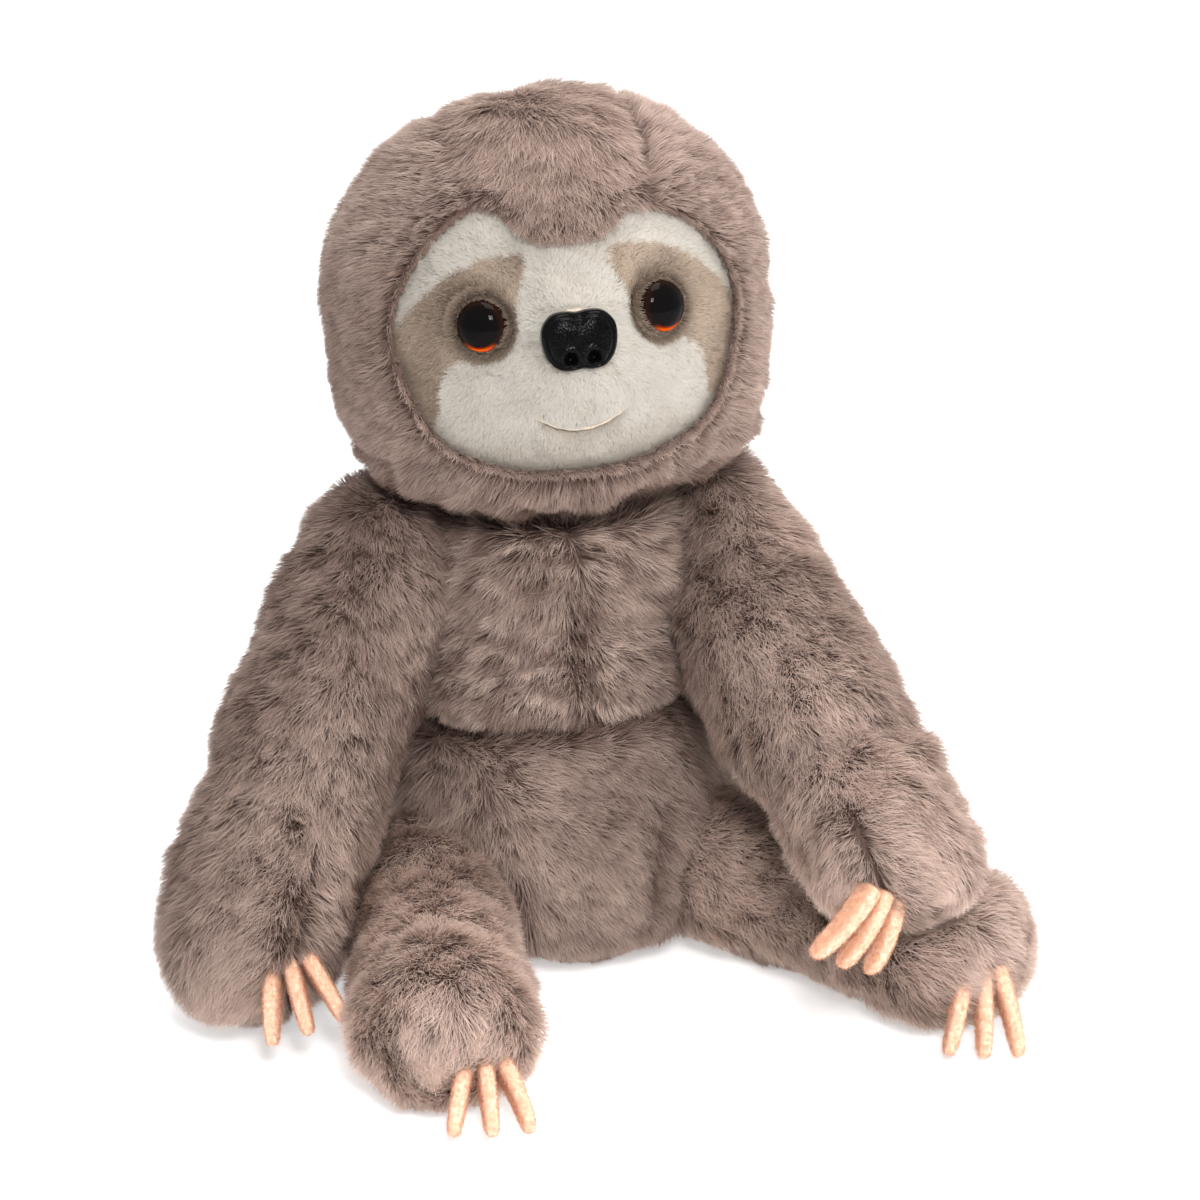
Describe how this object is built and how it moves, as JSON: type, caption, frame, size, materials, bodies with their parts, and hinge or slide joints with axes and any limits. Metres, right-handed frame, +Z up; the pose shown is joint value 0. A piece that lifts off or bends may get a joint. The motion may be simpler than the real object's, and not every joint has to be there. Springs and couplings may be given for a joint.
{
  "type": "plush sloth",
  "caption": "Seated plush sloth with a hooded head, pale face panel, dark eye patches, long sewn limbs that swing at shoulder and hip, and felt claws.",
  "frame": {"origin": "on the floor plane, on the middle line of the body, in the flat of the seat", "axes": "+Z up, the face looks along -Y, the toy's own left is +X"},
  "size_m": [0.2308, 0.1917, 0.2419],
  "materials": {
    "brown_plush": "long brushed pile, darker at the roots",
    "ruff_plush": "long soft pile under the chin",
    "cream_plush": "short dense pile",
    "taupe_plush": "short dense pile",
    "eye_plastic": "clear dome over a dark pupil and an amber iris",
    "nose_plastic": "pebbled moulding",
    "washer_plastic": "plain moulding",
    "claw_felt": "thick pressed felt",
    "mouth_thread": "twisted embroidery thread",
    "stuffing_fibre": "loose polyester fibre",
    "pellet_bag_cloth": "woven bag of plastic pellets"
  },
  "bodies": {
    "torso": {"seat_panel": "brown_plush", "belly_panel": "brown_plush", "chest_left_panel": "brown_plush", "chest_right_panel": "brown_plush", "back_left_panel": "brown_plush", "back_right_panel": "brown_plush", "pellet_bag": "pellet_bag_cloth", "torso_stuffing": "stuffing_fibre"},
    "neck": {"neck_cover": "brown_plush", "neck_stuffing": "stuffing_fibre"},
    "head": {"chin_ruff": "ruff_plush", "head_gusset": "brown_plush", "head_side_left": "brown_plush", "head_side_right": "brown_plush", "face_panel": "cream_plush", "eye_patch_left": "taupe_plush", "eye_patch_right": "taupe_plush", "eye_left": "eye_plastic", "eye_right": "eye_plastic", "eye_washer_left": "washer_plastic", "eye_washer_right": "washer_plastic", "nose": "nose_plastic", "nose_washer": "washer_plastic", "mouth_thread": "mouth_thread", "head_stuffing": "stuffing_fibre"},
    "arm_right": {"arm_right_claw_1": "claw_felt", "arm_right_claw_2": "claw_felt", "arm_right_claw_3": "claw_felt", "arm_right_outer_panel": "brown_plush", "arm_right_inner_panel": "brown_plush", "arm_right_stuffing": "stuffing_fibre"},
    "arm_left": {"arm_left_claw_1": "claw_felt", "arm_left_claw_2": "claw_felt", "arm_left_claw_3": "claw_felt", "arm_left_outer_panel": "brown_plush", "arm_left_inner_panel": "brown_plush", "arm_left_stuffing": "stuffing_fibre"},
    "leg_right": {"leg_right_claw_1": "claw_felt", "leg_right_claw_2": "claw_felt", "leg_right_claw_3": "claw_felt", "leg_right_outer_panel": "brown_plush", "leg_right_inner_panel": "brown_plush", "leg_right_stuffing": "stuffing_fibre"},
    "leg_left": {"leg_left_claw_1": "claw_felt", "leg_left_claw_2": "claw_felt", "leg_left_claw_3": "claw_felt", "leg_left_outer_panel": "brown_plush", "leg_left_inner_panel": "brown_plush", "leg_left_stuffing": "stuffing_fibre"}
  },
  "joints": [
    {"name": "neck_turn", "type": "hinge", "parent": "torso", "child": "neck", "pos_m": [0, -0.005, 0.118], "axis": [0, 0, 1], "range_deg": [-18, 18]},
    {"name": "head_nod", "type": "hinge", "parent": "neck", "child": "head", "pos_m": [0, -0.005, 0.118], "axis": [1, 0, 0], "range_deg": [-7, 7]},
    {"name": "shoulder_right", "type": "hinge", "parent": "torso", "child": "arm_right", "pos_m": [-0.0468, -0.003, 0.1125], "axis": [-0.7314, 0.682, 0], "range_deg": [0, 60]},
    {"name": "shoulder_left", "type": "hinge", "parent": "torso", "child": "arm_left", "pos_m": [0.0468, -0.003, 0.1125], "axis": [-0.9836, -0.1805, 0], "range_deg": [0, 34]},
    {"name": "hip_right", "type": "hinge", "parent": "torso", "child": "leg_right", "pos_m": [-0.042, -0.03, 0.0225], "axis": [0, 0, 1], "range_deg": [0, 14]},
    {"name": "hip_left", "type": "hinge", "parent": "torso", "child": "leg_left", "pos_m": [0.042, -0.03, 0.0225], "axis": [0, 0, 1], "range_deg": [0, 22]}
  ]
}
